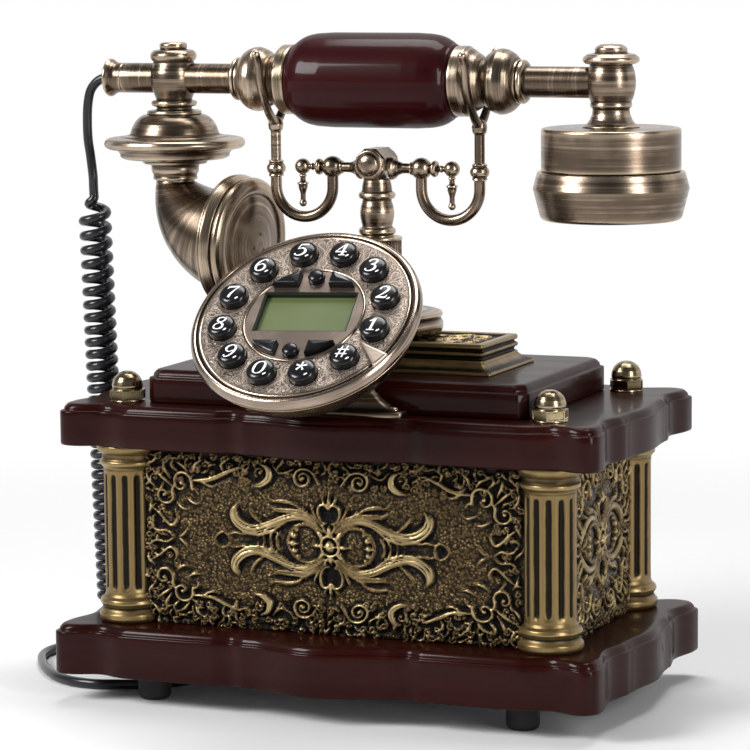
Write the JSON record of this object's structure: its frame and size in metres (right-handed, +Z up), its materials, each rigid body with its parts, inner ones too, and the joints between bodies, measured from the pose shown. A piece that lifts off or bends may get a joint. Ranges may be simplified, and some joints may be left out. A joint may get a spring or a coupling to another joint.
{
  "type": "cradle telephone",
  "caption": "French-style desk telephone: carved body between shaped boards, tilted push-button dial, sprung cradle, turned handset with a horn transmitter and a curly cord.",
  "frame": {"origin": "on the standing surface, under the middle of the bounding box of everything but the cord", "axes": "+Z up, -Y towards the user in front of the dial, +X to the user's right, where the receiver is"},
  "size_m": [0.3067, 0.1967, 0.2833],
  "materials": {
    "maroon_wood": "dark maroon stain under gloss lacquer",
    "rubber": "plain black",
    "steel": "zinc plated",
    "antique_gold": "antique gold paint over cast resin, dark in the recesses",
    "pale_brass": "polished, aged",
    "dark_plastic": "black",
    "circuit_board": "green lacquer",
    "display": "grey-green reflective display behind a clear window",
    "black_keys": "glossy black with white characters",
    "cord": "glossy black",
    "dial_copper": "engraved, brushed, warm bronze",
    "greyed_brass": "brushed antique bronze, dark in the grooves"
  },
  "bodies": {
    "base": {"base_plate": "maroon_wood", "rubber_feet": "rubber", "bottom_cover": "steel", "body_shell": "antique_gold", "corner_columns": "antique_gold", "tie_rods": "steel", "acorn_nuts": "pale_brass", "top_board": "maroon_wood", "upper_tier": "maroon_wood", "pedestal": "antique_gold", "fluted_column": "greyed_brass", "hook_spring": "steel", "hook_switch": "dark_plastic", "main_board": "circuit_board", "ringer": "dark_plastic", "line_jack": "dark_plastic", "cord_socket": "dark_plastic", "dial_stem": "greyed_brass", "dial_housing": "greyed_brass", "dial_face": "dial_copper", "keypad_board": "circuit_board", "lcd_glass": "display", "finger_stop": "dial_copper", "curly_cord": "cord", "cord_tail": "cord"},
    "cradle": {"cradle_stem": "greyed_brass", "cradle_hub": "greyed_brass", "hook_left": "greyed_brass", "hook_right": "greyed_brass"},
    "handset": {"grip": "maroon_wood", "arm_left": "greyed_brass", "arm_right": "greyed_brass", "mic_post": "greyed_brass", "mic_flange": "greyed_brass", "horn": "greyed_brass", "mic_capsule": "dark_plastic", "cord_ferrule": "greyed_brass", "receiver_post": "greyed_brass", "receiver_cap": "greyed_brass", "receiver_ring": "greyed_brass", "receiver_driver": "dark_plastic", "cord_lead": "cord"},
    "key_1": {"key_1": "black_keys"},
    "key_2": {"key_2": "black_keys"},
    "key_3": {"key_3": "black_keys"},
    "key_4": {"key_4": "black_keys"},
    "key_5": {"key_5": "black_keys"},
    "key_6": {"key_6": "black_keys"},
    "key_7": {"key_7": "black_keys"},
    "key_8": {"key_8": "black_keys"},
    "key_9": {"key_9": "black_keys"},
    "key_0": {"key_0": "black_keys"},
    "key_star": {"key_star": "black_keys"},
    "key_hash": {"key_hash": "black_keys"},
    "upper_left_key": {"upper_left_key": "black_keys"},
    "upper_middle_key": {"upper_middle_key": "black_keys"},
    "upper_right_key": {"upper_right_key": "black_keys"},
    "lower_left_key": {"lower_left_key": "black_keys"},
    "lower_middle_key": {"lower_middle_key": "black_keys"},
    "lower_right_key": {"lower_right_key": "black_keys"}
  },
  "joints": [
    {"name": "handset_lift", "type": "slide", "parent": "base", "child": "handset", "axis": [0, 0, 1], "range_m": [0, 0.08], "deforming": ["curly_cord"]},
    {"name": "cradle_rise", "type": "slide", "parent": "base", "child": "cradle", "axis": [0, 0, 1], "range_m": [0, 0.006], "stiffness_N_per_m": 400, "springref_m": 0.012, "deforming": ["hook_spring"]},
    {"name": "key_1_press", "type": "slide", "parent": "base", "child": "key_1", "axis": [0, 0.6428, -0.766], "range_m": [0, 0.002], "stiffness_N_per_m": 400, "springref_m": -0.001},
    {"name": "key_2_press", "type": "slide", "parent": "base", "child": "key_2", "axis": [0, 0.6428, -0.766], "range_m": [0, 0.002], "stiffness_N_per_m": 400, "springref_m": -0.001},
    {"name": "key_3_press", "type": "slide", "parent": "base", "child": "key_3", "axis": [0, 0.6428, -0.766], "range_m": [0, 0.002], "stiffness_N_per_m": 400, "springref_m": -0.001},
    {"name": "key_4_press", "type": "slide", "parent": "base", "child": "key_4", "axis": [0, 0.6428, -0.766], "range_m": [0, 0.002], "stiffness_N_per_m": 400, "springref_m": -0.001},
    {"name": "key_5_press", "type": "slide", "parent": "base", "child": "key_5", "axis": [0, 0.6428, -0.766], "range_m": [0, 0.002], "stiffness_N_per_m": 400, "springref_m": -0.001},
    {"name": "key_6_press", "type": "slide", "parent": "base", "child": "key_6", "axis": [0, 0.6428, -0.766], "range_m": [0, 0.002], "stiffness_N_per_m": 400, "springref_m": -0.001},
    {"name": "key_7_press", "type": "slide", "parent": "base", "child": "key_7", "axis": [0, 0.6428, -0.766], "range_m": [0, 0.002], "stiffness_N_per_m": 400, "springref_m": -0.001},
    {"name": "key_8_press", "type": "slide", "parent": "base", "child": "key_8", "axis": [0, 0.6428, -0.766], "range_m": [0, 0.002], "stiffness_N_per_m": 400, "springref_m": -0.001},
    {"name": "key_9_press", "type": "slide", "parent": "base", "child": "key_9", "axis": [0, 0.6428, -0.766], "range_m": [0, 0.002], "stiffness_N_per_m": 400, "springref_m": -0.001},
    {"name": "key_0_press", "type": "slide", "parent": "base", "child": "key_0", "axis": [0, 0.6428, -0.766], "range_m": [0, 0.002], "stiffness_N_per_m": 400, "springref_m": -0.001},
    {"name": "key_star_press", "type": "slide", "parent": "base", "child": "key_star", "axis": [0, 0.6428, -0.766], "range_m": [0, 0.002], "stiffness_N_per_m": 400, "springref_m": -0.001},
    {"name": "key_hash_press", "type": "slide", "parent": "base", "child": "key_hash", "axis": [0, 0.6428, -0.766], "range_m": [0, 0.002], "stiffness_N_per_m": 400, "springref_m": -0.001},
    {"name": "upper_left_key_press", "type": "slide", "parent": "base", "child": "upper_left_key", "axis": [0, 0.6428, -0.766], "range_m": [0, 0.002], "stiffness_N_per_m": 400, "springref_m": -0.001},
    {"name": "upper_middle_key_press", "type": "slide", "parent": "base", "child": "upper_middle_key", "axis": [0, 0.6428, -0.766], "range_m": [0, 0.002], "stiffness_N_per_m": 400, "springref_m": -0.001},
    {"name": "upper_right_key_press", "type": "slide", "parent": "base", "child": "upper_right_key", "axis": [0, 0.6428, -0.766], "range_m": [0, 0.002], "stiffness_N_per_m": 400, "springref_m": -0.001},
    {"name": "lower_left_key_press", "type": "slide", "parent": "base", "child": "lower_left_key", "axis": [0, 0.6428, -0.766], "range_m": [0, 0.002], "stiffness_N_per_m": 400, "springref_m": -0.001},
    {"name": "lower_middle_key_press", "type": "slide", "parent": "base", "child": "lower_middle_key", "axis": [0, 0.6428, -0.766], "range_m": [0, 0.002], "stiffness_N_per_m": 400, "springref_m": -0.001},
    {"name": "lower_right_key_press", "type": "slide", "parent": "base", "child": "lower_right_key", "axis": [0, 0.6428, -0.766], "range_m": [0, 0.002], "stiffness_N_per_m": 400, "springref_m": -0.001}
  ],
  "couplings": [
    {"joint": "cradle_rise", "follows": "handset_lift", "ratio": 0.075}
  ]
}
